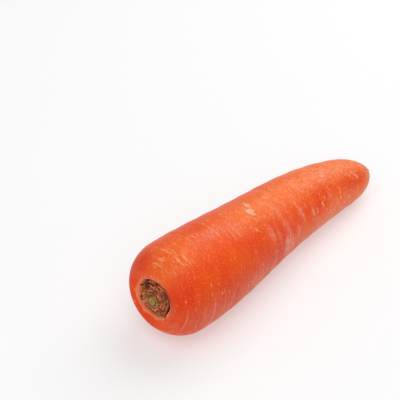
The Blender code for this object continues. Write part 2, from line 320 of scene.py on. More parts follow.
# the rim round the crown, in mm, and in degrees round it from the top
rim = {
    "radius": 11.0,
    "raggedNoise": ((3, 19, 0.3, 0.8), (4, 41, 0.4, 0.4)),  # seed, columns, row, weight
    "reach": 40,  # how far down the skin the rim's tones may go
    "callusWidth": 2.2,
    "callusSway": 1.1,
    "callusWidest": 145,
    "callusEdge": (0.2, 1.0),
    "healedMiddle": 122,  # where flesh has closed over the wall
    "healedReach": 1.35,
    # brown splits: place, half width, reach
    "notches": ((79, 5, 1.8), (116, 5, 1.9), (150, 10, 1.1), (172, 8, 1.7), (228, 6, 1.9), (20, 10, 0.6)),
    "scarEdge": (-0.9, 0.1),
    "split": (-0.1, 0.5),
    # a painted highlight along the lip: where it runs, and how much less it is where the wall has healed
    "lip": (0.2, 0.6),
    "lipHealed": 0.7,
}

# wide changes of tone: sides as a bearing in degrees from the top with its reach, the rest as shares
# of the length that each comes or goes between
wide = {
    "tanSide": (40, 34),
    "tanLength": (0.925, 0.03),
    "tip": (0.955, 1.0),
    # a far end made paler, partly as painted light; then a painted highlight along the top: its side and
    # reach, its least, its extra on the head and where that ends, and where it grows strong again
    "paleStarts": (0.42, 0.85),
    "highlightSide": (8, 30),
    "highlightLeast": 0.14,
    "highlightHead": 0.6,
    "highlightHeadEnds": (0.16, 0.31),
    "highlightStarts": (0.25, 0.43),
    "deepSide": (57, 24),
    "deepStarts": (0.40, 0.52),
    "deepEnds": (0.89, 0.96),
    "deepShare": 0.85,
    "underSide": (105, 150),
    "underShare": 0.35,
    "ripeSide": (78, 34),
    "ripeEnds": (0.42, 0.62),
    "patchSide": (62, 20),
    "patchLength": (0.85, 0.055),
    # painted shade along the low side, strongest near the head
    "shadedLowSide": (108, 27),
    "shadedLowStarts": (16, 30),  # mm down the skin
    "shadedLowEnds": (0.45, 0.7),
    "fade": 0.6,  # how much of the deep side and of the painted shade on the low side goes at their ends
}

# pale dashes that can be pointed at: share of the length, bearing in degrees from the top,
# half length and half width in mm, slant, strength
dashList = (
    (0.037, -3, 4.5, 0.44, 0.05, 1), (0.051, -3, 5.1, 0.42, 0.04, 0.75), (0.077, -3, 6.3, 0.44, 0.03, 0.85),
    (0.086, 3, 4.8, 0.38, 0.02, 0.6), (0.077, 18, 6.6, 0.42, -0.02, 0.9),
    (0.097, 21, 5.7, 0.42, 0.02, 0.75), (0.154, -3, 11.2, 0.36, 0.03, 0.55),
    (0.237, 6, 12.8, 0.32, 0.02, 0.6), (0.262, 16, 8.2, 0.42, 0.04, 0.5), (0.28, 20, 9, 0.47, 0.02, 0.5),
    (0.3, 22, 7.5, 0.38, 0, 0.4), (0.374, 36, 2.4, 0.53, 0.3, 0.9), (0.496, 0, 3.6, 0.38, 0.1, 0.8),
    (0.548, -6, 3.9, 0.38, 0, 0.7), (0.692, 66, 3.4, 0.38, 0.02, 1), (0.662, 70, 3.2, 0.36, 0.02, 0.8),
    (0.709, 58, 2.8, 0.32, 0.02, 0.7), (0.786, 70, 3.6, 0.38, 0, 0.95), (0.79, 57, 2.4, 0.3, 0, 0.6),
    (0.742, 47, 2.4, 0.45, 0.1, 0.6), (0.77, 44, 1.8, 0.4, 0.1, 0.45), (0.826, 86, 2.6, 0.45, 0, 0.6),
    (0.639, 69, 3.4, 0.45, 0, 0.7), (0.612, 49, 2.8, 0.45, 0.05, 0.6), (0.556, 79, 3, 0.5, 0.05, 0.6),
    (0.876, 38, 2.2, 0.5, 0.1, 0.8), (0.859, 43, 2, 0.5, 0.1, 0.6), (0.73, 52, 2, 0.4, 0.08, 0.6),
    (0.892, 54, 2.4, 0.42, 0, 0.7), (0.885, 46, 2.4, 0.5, 0.05, 0.8), (0.868, 50, 2.2, 0.4, 0, 0.6),
    (0.848, 35, 1.8, 0.5, 0, 0.6), (0.588, 62, 7, 0.5, 0.12, 0.6), (0.577, 40, 4, 0.4, 0.1, 0.45),
    (0.651, 41, 3, 0.4, 0.1, 0.4),
)
# broken skin: share, bearing, half length, half width in mm
chipList = (
    (0.403, 11, 4.6, 3.1),
    (0.42, -2, 3.9, 2.2),
)
# dry whitish bloom, and painted sheen on the top near the head (the wide ones at bearings 8 and 18): share,
# bearing, half height and half width in mm, strength
bloomList = (
    (0.423, 54, 9, 4, 0.6), (0.489, 36, 9, 3.5, 0.5), (0.5, 88, 10, 6.5, 1.3), (0.585, 52, 13, 4, 0.5),
    (0.5, 62, 11, 4.5, 0.62), (0.545, 84, 9, 4, 0.6), (0.026, -130, 2.2, 1, 0.9), (0.3, 18, 9, 7.5, 0.5),
    (0.64, 72, 8, 5, 0.5), (0.7, 100, 8, 48, 0.35), (0.78, 15, 8, 34, 0.5), (0.12, 98, 15, 26, 0.3),
    (0.33, 100, 12, 30, 0.4), (0.09, -20, 12, 10, 0.3), (0.23, 8, 8, 26, 0.45), (0.455, 62, 13, 3, 0.5),
    (0.53, 50, 14, 3, 0.36), (0.83, 72, 6, 8, 0.3), (0.885, 45, 4, 5, 0.4), (0.74, 58, 5, 4, 0.4),
    (0.024, 122, 9, 3.5, 0.38),
)
# random marks: what, how many, and the ends that each value is drawn between, in the order of drawing
scatter = (
    ("dash", 95, {  # round the back
        "share": (0.03, 0.95), "degrees": (100, 330), "strength": (0.3, 0.9),
        "halfLength": (1.2, 4.0), "halfWidth": (0.45, 0.7), "slant": (-0.06, 0.06),
    }),
    ("dash", 26, {  # in front
        "share": (0.12, 0.95), "degrees": (-30, 100), "halfLength": (1.0, 3.0),
        "halfWidth": (0.45, 0.65), "slant": (-0.08, 0.08), "strength": (0.25, 0.5),
    }),
    ("bloomAndSheen", 12, {
        "share": (0.15, 0.9), "degrees": (110, 330), "halfLength": (5, 10),
        "halfWidth": (3, 6), "strength": (0.25, 0.6),
    }),
)


def rootForm():
    # the frame's root, welded and rounded off: the form that the skin is laid on
    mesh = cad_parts["taproot"].data.copy()
    work = bmesh.new()
    work.from_mesh(mesh)
    bmesh.ops.remove_doubles(work, verts=work.verts, dist=1e-6)
    bmesh.ops.join_triangles(work, faces=work.faces, angle_face_threshold=0.6, angle_shape_threshold=0.8)
    work.to_mesh(mesh)
    work.free()
    mesh.transform(layDown.inverted())
    form = addObject("rootForm", mesh)
    form.modifiers.new("rounding", "SUBSURF").levels = 2
    tree = BVHTree.FromObject(form, bpy.context.evaluated_depsgraph_get())
    bpy.data.objects.remove(form)
    return tree


def land(tree, starts, aims):
    # every start falls along its aim until it meets the form
    flat = starts.reshape(-1, 3).copy()
    for k, aim in enumerate(np.broadcast_to(aims, starts.shape).reshape(-1, 3)):
        found = tree.ray_cast(Vector(flat[k]), Vector(aim))[0]
        if found is not None:
            flat[k] = found
    return flat.reshape(starts.shape)


def rootLine(depth):
    # the root's own middle line, with its bends
    share = depth / lie["length"]
    y = lie["bow"] * np.sin(math.pi * share) + lie["sBend"] * np.sin(fullTurn * share)
    return np.stack([np.zeros_like(y), y, -depth], -1)


def layRows(tree):
    # rows from the middle of the crown's hollow, over the rim and down to the tail
    s = skin
    turns = np.arange(s["columns"]) / s["columns"] * fullTurn
    out = polar(1, turns, 0)
    up = np.array([0, 0, 1])

    floor = np.linspace(s["firstRing"], s["floorReach"], s["floorRows"])
    wall = np.linspace(s["floorReach"], s["rimReach"], s["rimRows"] + 1)[1:]
    reach = np.concatenate([floor, wall])[:, None]
    crownRows = land(tree, polar(reach, turns, s["dropFrom"], *lie["crown"][:2]), -up)

    pole = rootLine(np.array(s["headPole"]))
    x, y, z = (crownRows[-1] - pole).T
    first = np.arctan2(np.hypot(x, y), z)
    heading = np.arctan2(y, x)
    steps = (np.arange(s["headRows"]) + 1)[:, None] / s["headRows"]
    lean = first + (math.pi / 2 - first) * steps
    aims = polar(np.sin(lean), heading + halfTurns(turns - heading) * steps, np.cos(lean))
    headRows = land(tree, pole + s["castFrom"] * aims, -aims)

    depths = np.linspace(s["headPole"], s["tipPole"], s["flankRows"] + 1)[1:]
    flankRows = land(tree, rootLine(depths)[:, None] + s["castFrom"] * out, -out)

    steps = np.linspace(0, 1, s["tipRows"] + 1)[1:] ** s["tipCrowding"] * s["tipEnd"]
    lean = (math.pi / 2 * (1 + steps))[:, None, None]
    aims = np.sin(lean) * out + np.cos(lean) * up
    tipRows = land(tree, rootLine(np.array(s["tipPole"])) + s["castFrom"] * aims, -aims)
    return np.concatenate([crownRows, headRows, flankRows, tipRows])


def gridMesh(name, rows, height):
    # one closed sheet of quads round the rows, with a cap of triangles at each end
    count, columns = rows.shape[:2]
    points = np.concatenate([rows.reshape(-1, 3), [rows[0].mean(0), rows[-1].mean(0)]])
    k = np.arange(columns)
    ahead = (k + 1) % columns
    row = np.arange(count - 1)[:, None] * columns
    below = row + columns
    faces = np.stack([row + k, below + k, below + ahead, row + ahead], -1).reshape(-1, 4).tolist()
    last = (count - 1) * columns
    top = 0 * k + last + columns
    faces += np.stack([top, k, ahead], -1).tolist()
    faces += np.stack([top + 1, last + ahead, last + k], -1).tolist()
    mesh = bpy.data.meshes.new(name)
    mesh.from_pydata(points.tolist(), [], faces)
    mesh.update()

    def flatLay(u, v):
        return np.stack(np.broadcast_arrays(np.stack(u, -1) / columns, v), -1).reshape(-1, 2)

    # the sheet laid flat, for baking: once round it across, and its height up
    heights = np.stack([height[:-1], height[1:], height[1:], height[:-1]], -1)[:, None, :]
    flat = [
        flatLay([k, k, k + 1, k + 1], heights),
        flatLay([k + 0.5, k, k + 1], [0.0, height[0], height[0]]),
        flatLay([k + 0.5, k + 1, k], [1.0, height[-1], height[-1]]),
    ]
    flat = np.concatenate(flat).astype(np.float32)
    mesh.uv_layers.new(name="OFBake").data.foreach_set("uv", flat.ravel())
    mesh.shade_smooth()
    return mesh


def measure(rows):
    # for every point: how far down the skin it is, and where round the root
    columns = skin["columns"]
    step = np.linalg.norm(np.diff(rows, axis=0), axis=2)
    along = np.concatenate([np.zeros((1, columns)), np.cumsum(step, 0)]) + skin["firstRing"]
    turns = np.arange(columns) / columns * fullTurn
    height = along.mean(1) / along.mean(1)[-1]
    return {
        "along": along,
        "height": height,
        "length": np.broadcast_to(height[:, None], along.shape),
        "turns": turns,
        "bearing": np.broadcast_to(np.arctan2(-np.sin(turns), np.cos(turns)), along.shape),
        "radius": np.linalg.norm(rows - rows.mean(1, keepdims=True), axis=2),
    }


def layMarks(rows, at):
    # how strongly each point belongs to a dash, a chip, or a bloom, where a few blooms are painted sheen
    s = skin
    along = at["along"]
    depth = -rows[..., 2]
    firstRow = s["floorRows"] + s["rimRows"]
    radius = np.maximum(at["radius"], s["leastRadius"])
    frayed = along + hills(s["fray"], along / along.max(), at["bearing"] / fullTurn + 0.5)
    fields = {name: np.zeros_like(along) for name in ("dash", "chip", "bloomAndSheen")}

    def lay(name, share, degrees, halfLength, halfWidth, strength=1, slant=s["slant"]):
        # longer round the root than along it; a dash tapers to both ends
        away = halfTurns(at["bearing"], degrees)
        column = np.argmin(np.abs(away[0]))
        row = firstRow + np.argmin(np.abs(depth[firstRow:, column] - share * lie["length"]))
        swing = away * radius
        a = swing / (halfLength * mm)
        b = (frayed - along[row, column] - slant * swing) / (halfWidth * mm)
        shape = 1 - a**2 - np.abs(b) if name == "dash" else 1 - np.hypot(a, b)
        fields[name] = np.maximum(fields[name], np.clip(shape, 0, 1) * strength)

    for *place, halfWidth, slant, strength in dashList:
        lay("dash", *place, s["dashSpread"] * halfWidth, strength, slant)
    for chip in chipList:
        lay("chip", *chip)
    for bloomAndSheen in bloomList:
        lay("bloomAndSheen", *bloomAndSheen)
    rng = np.random.default_rng(s["seed"])
    for name, count, ranges in scatter:
        for k in range(count):
            lay(name, **{value: rng.uniform(*ends) for value, ends in ranges.items()})
    return fields


def rimMarks(rows, at):
    # callus over the rim's lip, a painted highlight along the lip, and brown on the wall and floor of the
    # hollow with painted shade in its crevice
    s = rim
    turns = at["turns"]
    near = at["along"] < s["reach"] * mm
    away = np.linalg.norm(rows[..., :2] - lie["crown"][:2], axis=2) / mm - s["radius"]
    for seed, columns, row, weight in s["raggedNoise"]:
        away = away - weight * (softNoise(seed, 3, columns, row, turns / fullTurn) - 0.5)
    width = s["callusWidth"] + s["callusSway"] * np.cos(turns - math.radians(s["callusWidest"]))
    callus = near * (1 - smooth(*s["callusEdge"], away / width))
    healed = 0.5 + 0.5 * np.cos(turns - math.radians(s["healedMiddle"]))
    notches = 0
    for middle, halfWidth, reach in s["notches"]:
        notches = notches + reach * hump(halfTurns(turns, middle), 0, math.radians(halfWidth))
    scarEdge = away + s["healedReach"] * healed - notches
    # brown tissue on the wall and floor of the hollow, with painted shade in its crevice
    scar = near * (1 - smooth(*s["scarEdge"], scarEdge))
    split = near * np.clip(notches, 0, 1) * hump(scarEdge, *s["split"])
    # painted highlight along the lip
    lip = near * hump(away, *s["lip"]) * (1 - s["lipHealed"] * healed**2)
    return {"callus": callus, "scar": scar, "lipHighlight": lip}, split


def skinRelief(at, marks, split):
    # how far each point is pushed out along the skin
    s = skin
    spot = (at["length"], at["turns"] / fullTurn)
    calmest, more = s["calm"]
    relief = (
        hills(s["wrinkles"], *spot) * (calmest + more * softNoise(*s["calmNoise"], *spot))
        + hills(s["dents"], *spot)
        - s["creaseDepth"] * smooth(0.05, 0.6, marks["dash"])
        - s["chipDepth"] * smooth(0.1, 0.4, marks["chip"])
        + marks["callus"] * hills(s["callusLumps"], *spot)
        + marks["scar"] * hills(s["scarLumps"], *spot)
        - s["splitDepth"] * split
    )
    return mm * relief * smooth(0, s["headEase"], at["along"])


def wideTones(at):
    s = wide
    length = at["length"]
    degrees = np.degrees(at["bearing"])

    def side(name):
        return hump(degrees, *s[name])

    def share(name):
        return smooth(*s[name], length)

    # a painted highlight along the top, and a far end made paler, partly as painted light
    back = s["highlightLeast"] + s["highlightHead"] * (1 - share("highlightHeadEnds")) + share("highlightStarts")
    deep = side("deepSide") * share("deepStarts") * (1 - s["fade"] * share("deepEnds"))
    under = smooth(*s["underSide"], np.abs(degrees))
    pale = share("paleStarts") * (1 - s["deepShare"] * deep) * (1 - s["underShare"] * under)
    ripe = side("ripeSide") * (1 - share("ripeEnds"))
    # painted shade on the low side, fading towards the tip
    shadedLow = side("shadedLowSide") * (1 - s["fade"] * share("shadedLowEnds"))
    return {
        "tan": side("tanSide") * hump(length, *s["tanLength"]),
        "tipTone": share("tip"),
        "paleEndAndHighlight": np.maximum(pale, side("highlightSide") * back),
        "ripeSide": np.maximum(ripe, side("patchSide") * hump(length, *s["patchLength"])),
        "shadedLowSide": shadedLow * smooth(*s["shadedLowStarts"], at["along"] / mm),
    }


def makeSkin():
    rows = layRows(rootForm())
    at = measure(rows)
    marks = layMarks(rows, at)
    crownMarks, split = rimMarks(rows, at)
    marks.update(crownMarks)
    relief = skinRelief(at, marks, split).reshape(-1, 1)
    mesh = gridMesh("rootSkin", rows, at["height"])
    points = readPoints(mesh.vertices, "co")
    points[: len(relief)] += readPoints(mesh.vertex_normals, "vector")[: len(relief)] * relief
    turn = np.array(layDown)
    points = points @ turn[:3, :3].T + turn[:3, 3]
    points[:, 2] = np.maximum(points[:, 2], 0)
    mesh.vertices.foreach_set("co", points.astype(np.float32).ravel())
    mesh.update()

    along = at["along"] / mm
    place = np.roll(polar(skin["around"], at["bearing"], along), 1, -1).reshape(-1, 3)
    ends = [[skin["firstRing"] / 2 / mm, 0, 0], [along[-1].mean(), 0, 0]]
    addPointValues(mesh, "skinPlace", np.concatenate([place, ends]))
    marks.update(wideTones(at))
    for name, field in marks.items():
        addPointValues(mesh, name, np.concatenate([field.ravel(), [field[0].mean(), field[-1].mean()]]))
    return addObject("rootSkin", mesh)


# Layers, from the flesh outward: noise (scale, detail, roughness, warp), spots (scale), or what is
# named in "from", torn by noise, eased between levels, held back by gates, and laid in its tint.
# Small numbers in stretch make it long that way. A layer with no tint is there for those after it.
finer = {"stretch": (2.6, 0.30, 0.30), "shift": (7, 3, 1)}
skinFlesh = (224, 53, 1)
skinLayers = {
    "patches": {"noise": (0.07, 3, 0.6)},
    "warm": {"noise": (0.055, 3), "levels": (0.35, 0.68), "tint": (232, 79, 5)},
    "red": {"noise": (0.13, 4, 0.5, 0.6), "levels": (0.52, 0.75, 0, 0.5), "tint": (216, 46, 3)},
    # a painted highlight along the top, over a far end made paler, partly as painted light
    "pale": {"from": "paleEndAndHighlight", "share": 0.62, "tint": (242, 120, 40)},
    "ripe": {"from": "ripeSide", "share": 0.45, "tint": (208, 52, 4)},
    "streaks": {
        "stretch": (1, 0.14, 0.14), "noise": (0.62, 5, 0.6), "levels": (0.48, 0.7),
        "gates": {"patches": (0.35, 0.65, 0.12, 0.42), "paleEndAndHighlight": (0, 0.6, 0.4, 0.8)},
        "tint": (243, 126, 60),
    },
    "grain": {"noise": (1.7, 4, 0.65)},
    "grainTone": {"from": "grain", "levels": (0.45, 0.75, 0, 0.3), "tint": (249, 132, 54)},
    "flecks": {
        **finer, "noise": (1.1, 4, 0.7), "levels": (0.52, 0.68, 0, 0.36),
        "gates": {"along": (55, 110), "paleEndAndHighlight": (0.2, 0.9)}, "tint": (254, 176, 132),
    },
    "mottle": {
        "shift": (4, 12, 6), "noise": (0.26, 3, 0.5), "levels": (0.46, 0.64, 0, 0.3),
        "gates": {"paleEndAndHighlight": (0.25, 0.9)}, "tint": (250, 150, 112),
    },
    "blotches": {
        "stretch": (1.1, 0.9, 0.9), "shift": (6, 2, 14), "noise": (0.62, 2.5, 0.45),
        "levels": (0.55, 0.67, 0, 0.45), "gates": {"along": (108, 155), "paleEndAndHighlight": (0.1, 0.8, 0.35, 1)},
        "tint": (254, 164, 128),
    },
    # pale dust flecks, laid thicker along the painted highlight to make it pinker
    "dustAndSheen": {
        "stretch": (1.15, 1, 1), "shift": (13, 4, 9), "noise": (1.35, 3, 0.55), "levels": (0.585, 0.7),
        "gates": {"patches": (0.35, 0.62, 0.5, 1), "paleEndAndHighlight": (0, 0.6, 0.22, 1)}, "tint": (252, 172, 130),
    },
    "threads": {
        "stretch": (1, 0.075, 0.075), "shift": (2, 8, 3), "wobble": (0.5, 0.9), "spots": 0.75,
        "levels": (0.03, 0.14, 1, 0),
        "gates": {"patches": (0.42, 0.62, 0.05, 0.42), "paleEndAndHighlight": (0, 0.6, 0.3, 1)},
        "tint": (248, 160, 122),
    },
    # painted shade on the low side near the head
    "dusk": {"from": "shadedLowSide", "share": 0.55, "tint": (206, 88, 52)},
    "brushed": {  # fine pale lines on the low side, over its painted shade
        "stretch": (1, 0.045, 0.045), "shift": (9, 2, 6), "wobble": (0.1, 2), "noise": (0.95, 4, 0.55),
        "levels": (0.5, 0.68, 0, 0.38), "gates": {"shadedLowSide": (0.05, 0.7)}, "tint": (236, 146, 112),
    },
    # a bloom is rubbed on in streaks, broken up by spots and by worn-off places; the painted sheen on the
    # top near the head is laid the same way
    "haze": {
        "noise": (0.22, 4, 0.6, 0.4), "levels": (0.38, 0.6, 0.1, 0.4), "gates": {"bloomAndSheen": (0.05, 0.7)},
        "tint": (228, 122, 92),
    },
    "worn": {"noise": (0.16, 4, 0.6, 0.5), "levels": (0.36, 0.6, 0.35, 1)},
    "swept": {
        "stretch": (1, 0.09, 0.09), "shift": (5, 1, 8), "wobble": (0.12, 2.5), "noise": (0.8, 4, 0.6),
    },
    "chalk": {"noise": (0.8, 5, 0.75), "levels": (0.36, 0.62, 0.45, 1.4), "by": "swept"},
    "powder": {"from": "chalk", "levels": (0.36, 0.66), "gates": {"bloomAndSheen": (0, 0.8)}, "by": "worn"},
    "powdered": {"from": "powder", "share": 0.9, "tint": (230, 166, 146)},
    "dots": {
        "stretch": (1, 0.62, 0.62), "wobble": (1.3, 0.55), "spots": 0.32, "sizes": 0.2,
        "levels": (-0.02, 0.07, 1, 0), "share": 0.55, "tint": (252, 170, 128),
    },
    "specks": {
        "shift": (31, 17, 5), "wobble": (1.8, 0.4), "spots": 0.62, "levels": (0.04, 0.17, 1, 0),
        "gates": {"patches": (0.35, 0.6, 0.4, 0.75)}, "tint": (250, 164, 124),
    },
    "ticks": {
        "stretch": (1, 0.26, 0.26), "shift": (3, 9, 4), "wobble": (0.9, 0.5), "spots": 0.46,
        "levels": (0.05, 0.16, 1, 0), "share": 0.45, "tint": (250, 164, 112),
    },
    "dashGaps": {**finer, "noise": (0.9, 4, 0.7), "levels": (0.34, 0.66, 0.25, 1.5), "by": "dash"},
    "dashes": {"from": "dashGaps", "levels": (0.03, 0.8)},
    "dashed": {"from": "dashes", "share": 0.85, "tint": (250, 174, 114)},
    "torn": {"from": "chip", "torn": (1.9, 0.62, 6, 0.72), "gates": {"chip": (0, 0.12)}},
    "lifted": {
        "from": "torn", "levels": (0.02, 0.14), "gates": {"torn": (0.16, 0.26, 1, 0)}, "share": 0.5,
        "tint": (158, 74, 30),
    },
    "broken": {
        "from": "torn", "levels": (0.18, 0.34), "share": 0.85, "tints": ((226, 134, 94), (248, 188, 152)),
        "tones": {"noise": (0.9, 3), "levels": (0.35, 0.65)},
    },
    # pale callus where the wall has healed over, made paler as painted light where the wall lies in shade
    "healed": {
        "from": "callus", "torn": (1, 0.5, 5, 0.6), "levels": (0.2, 0.95), "gates": {"callus": (0, 0.15)},
        "share": 0.77, "tints": ((228, 112, 60), (244, 152, 98)), "tones": {"noise": (0.9, 4)},
    },
    # painted highlight along the rim's lip
    "lip": {"noise": (0.7, 4), "levels": (0.3, 0.6, 0.3, 0.8), "by": "lipHighlight", "tint": (196, 134, 106)},
    # dark and mid brown in the hollow: brown tissue, with painted shade in its crevice
    "hollowBrownAndShade": {
        "from": "scar", "torn": (1.5, 0.75, 5, 0.65), "levels": (0.35, 0.6), "gates": {"scar": (0, 0.1)},
        "tints": ((82, 34, 26), (142, 66, 42)), "tones": {"noise": (1.1, 4), "levels": (0.35, 0.65)},
    },
    "tanned": {
        "noise": (0.35, 4, 0.6, 0.5), "levels": (0.42, 0.6, 0, 0.6), "by": "tan", "tint": (204, 128, 58),
    },
    "tail": {
        "from": "tipTone", "torn": (0.5, 0.5, 4), "levels": (0.5, 0.95), "share": 0.7,
        "tint": (206, 96, 46),
    },
    # for the bumps and the gloss
    "pores": {**finer, "noise": (0.7, 6, 0.6)},
    "crust": {"noise": (1.6, 5, 0.7), "by": "hollowBrownAndShade"},
    "gloss": {"stretch": (1, 0.14, 0.14), "noise": (0.35, 4), "levels": (0.3, 0.7, 0.35, 0.47)},
}
skinLooks = {
    "poreBump": (0.11 * mm, 0.8),
    "grainBump": (0.12 * mm, 0.6),
    "markBump": (0.12 * mm, 0.9),
    "powderRough": 0.2,
    "hollowBrownAndShadeRough": 0.35,
    "body": {
        "Subsurface Weight": 0.15, "Subsurface Radius": (1, 0.25, 0.08), "Subsurface Scale": 0.002,
        "IOR": 1.45, "Specular IOR Level": 0.17,
    },
}


def skinFinish():
    s = skinLooks
    w = Wiring("carrotSkin", "skinPlace")
    found = w.found
    found["along"] = w.node("SeparateXYZ", {0: w.place()}).outputs["X"]
    w.paint(skinFlesh, skinLayers)

    rough = w.math("ADD", found["gloss"], w.times(found["powder"], s["powderRough"]))
    rough = w.math("ADD", rough, w.times(found["hollowBrownAndShade"], s["hollowBrownAndShadeRough"]), clamp=True)
    normal = w.bump(found["pores"], *s["poreBump"])
    grain = w.math("SUBTRACT", found["grain"], found["threads"])
    normal = w.bump(grain, *s["grainBump"], Normal=normal)
    marks = w.math("ADD", found["dashes"], found["crust"])
    normal = w.bump(marks, *s["markBump"], Normal=normal)
    return w.finish({"Roughness": rough, "Normal": normal, **s["body"]})


rootSkin = makeSkin()
rootSkin.data.materials.append(skinFinish())
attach(rootSkin, "root")
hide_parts("taproot")

print("stage 3: dry leaf bases in the crown")
# in mm, in the crown's own space: its middle at zero, up out of the hollow
leaves = {
    # whorls from the rim inward: radius, how many, top, half span in degrees, outward lean
    "whorls": (
        (9.1, 9, -0.8, 24, 0.45),
        (7.9, 8, 0, 27, 0.3),
        (6.8, 8, 0.5, 28, 0.25),
        (5.8, 7, 1, 32, 0.2),
        (4.8, 6, 1.4, 37, 0.1),
        (3.9, 5, 1.5, 44, 0),
    ),
    "foot": -2.2,
    "thickness": 0.78,
    "across": 22,
    "upward": 10,
    "ribs": 5,
    "ribHeight": 0.07,
    "jag": 0.6,
    "tear": 0.9,
    "tearChance": 0.12,
    "stalkShift": (-1.1, -0.2),  # the inner whorls close round the stalk
    "wholeReach": 9.0,
    "outerFrom": 7,  # whorls wider than this are worn and raised
    "wornSide": (165, 28, 1.1),  # place round the crown and half width in degrees, how much lower
    "raisedSide": (285, 0.9),
    # fibres: how many, ends of radius, sweep, height and thickness, and the widest they may go
    "fibres": 150,
    "fibreRadius": (3.4, 9.2),
    "fibreSweep": (0.05, 0.45),
    "fibreHeight": (-0.3, 0.8),
    "fibreThick": (0.10, 0.2),
    "fibreLimit": 9.5,
    # crumbs: how many, widest, share of that radius, size
    "crumbs": 330,
    "crumbReach": 9.1,
    "crumbShare": (0.13, 1.0),
    "crumbSize": (0.35, 0.95),
    "crumbGrid": (6, 7),
    "crumbThick": 0.18,
    "seed": 5,
}
# the woody plate that the leaf bases stand on
plate = {
    "rings": (0.2, 9.9, 64),
    "turns": 121,
    "noise": (41, 30, 36),
    "top": -0.5,
    "slopes": ((4.0, 8.6, 1.7), (8.4, 9.8, 0.9)),  # from, to, fall
    "ridgeGap": 0.9,
    "ridge": 0.22,
    "rough": 0.55,
    "under": -3.1,
}


def newPile():
    return {"points": [], "faces": [], "lift": [], "tone": []}


def addPoints(pile, points, lift, tone):
    # gives back the points' numbers, in the same grid
    first = len(pile["points"])
    numbers = first + np.arange(points.size // 3).reshape(points.shape[:-1])
    pile["points"] += points.reshape(-1, 3).tolist()
    pile["lift"] += np.broadcast_to(lift, numbers.shape).ravel().tolist()
    pile["tone"] += [tone] * numbers.size
    return numbers


def addQuads(pile, *corners):
    pile["faces"] += np.stack(corners, -1).reshape(-1, 4).tolist()


def addShell(pile, sheets, lift, tone):
    # a thin closed shell between two sheets of the same grid
    a, b = addPoints(pile, np.array(sheets), lift, tone)
    for n in (a, b):
        addQuads(pile, n[:-1, :-1], n[:-1, 1:], n[1:, 1:], n[1:, :-1])
    for end in (0, -1):
        addQuads(pile, a[end, :-1], a[end, 1:], b[end, 1:], b[end, :-1])
        addQuads(pile, a[:-1, end], a[1:, end], b[1:, end], b[:-1, end])


def addTube(pile, line, thick, tone, sides=6):
    # a tapering fibre along a line of points
    ahead = np.gradient(line, axis=0)
    side = np.cross(ahead, [0.3, 0.2, 0.9])
    side, other = [a / np.linalg.norm(a, axis=1)[:, None] for a in (side, np.cross(ahead, side))]
    turns = np.arange(sides)[:, None] / sides * fullTurn
    share = np.linspace(0, 1, len(line))[:, None]
    size = (thick * (1 - 0.6 * share))[:, None]
    points = line[:, None] + size * (np.cos(turns) * side[:, None] + np.sin(turns) * other[:, None])
    rings = addPoints(pile, points, 0.5 + 0.5 * share, tone)
    beside = np.roll(rings, -1, 1)
    addQuads(pile, rings[:-1], beside[:-1], beside[1:], rings[1:])
    pile["faces"] += [rings[0].tolist(), rings[-1].tolist()]


def crownMiddle(radius):
    # the whorls' middle drifts to the stalk as they get smaller
    drift = max(0, 1 - radius / leaves["wholeReach"])
    return [drift * shift for shift in leaves["stalkShift"]]


def addScale(pile, rng, radius, turn, halfSpan, top, lean):
    # one torn leaf base: a thin curved plate with ribs and a ragged upper edge
    s = leaves
    u = np.linspace(-1, 1, s["across"])
    v = np.linspace(0, 1, s["upward"])[:, None]
    jag = np.convolve(rng.normal(0, s["jag"], s["across"] + 2), (0.25, 0.5, 0.25), "valid")
    jag = jag - s["tear"] * rng.random() * (rng.random(s["across"]) < s["tearChance"])
    jag = jag + 0.25 * np.sin(u * rng.uniform(2, 5) + rng.uniform(0, 6))
    height = (top - s["foot"]) * (1 - 0.22 * u**2 - 0.25 * np.abs(u) ** 6) + jag
    turns = turn + np.radians(halfSpan) * u * (1 - 0.22 * v**2)
    rib = s["ribHeight"] * np.cos(u * s["ribs"] * math.pi + rng.uniform(0, 6))
    curl = lean * v**2 + rng.normal(0, 0.12) + 0.25 * rng.normal() * u * v
    thick = s["thickness"] * (1 - 0.45 * v) * (1 - 0.35 * u**2) * rng.uniform(0.8, 1.15)
    out = thick / 2 + rib
    place = (turns, s["foot"] + v * height, *crownMiddle(radius))
    addShell(pile, [polar(radius + curl + side * out, *place) for side in (1, -1)], v, rng.random())


def addCrumb(pile, rng, spot, size):
    # a curled flake of dead leaf, lying any way round
    shape = leaves["crumbGrid"]
    u = np.linspace(-1, 1, shape[1])
    v = np.linspace(-1, 1, shape[0])[:, None]
    edge = 1 + 0.22 * rng.normal(0, 1, shape)
    x = size * u * edge * np.sqrt(1 - 0.45 * v**2)
    y = 0.62 * size * v * edge * np.sqrt(1 - 0.45 * u**2)
    z = 0.3 * size * (rng.normal() * u * v + rng.normal() * u**2 + 0.25 * rng.normal(0, 1, shape))
    turn = Matrix.Rotation(rng.uniform(0, fullTurn), 3, "Z") @ Matrix.Rotation(rng.normal(0, 0.5), 3, "X")
    half = leaves["crumbThick"] / 2
    sheets = np.array([np.stack([x, y, z + half], -1), np.stack([0.96 * x, 0.96 * y, z - half], -1)])
    addShell(pile, sheets @ np.array(turn).T + spot, np.clip(0.55 + 0.4 * z / size, 0, 1), rng.random())


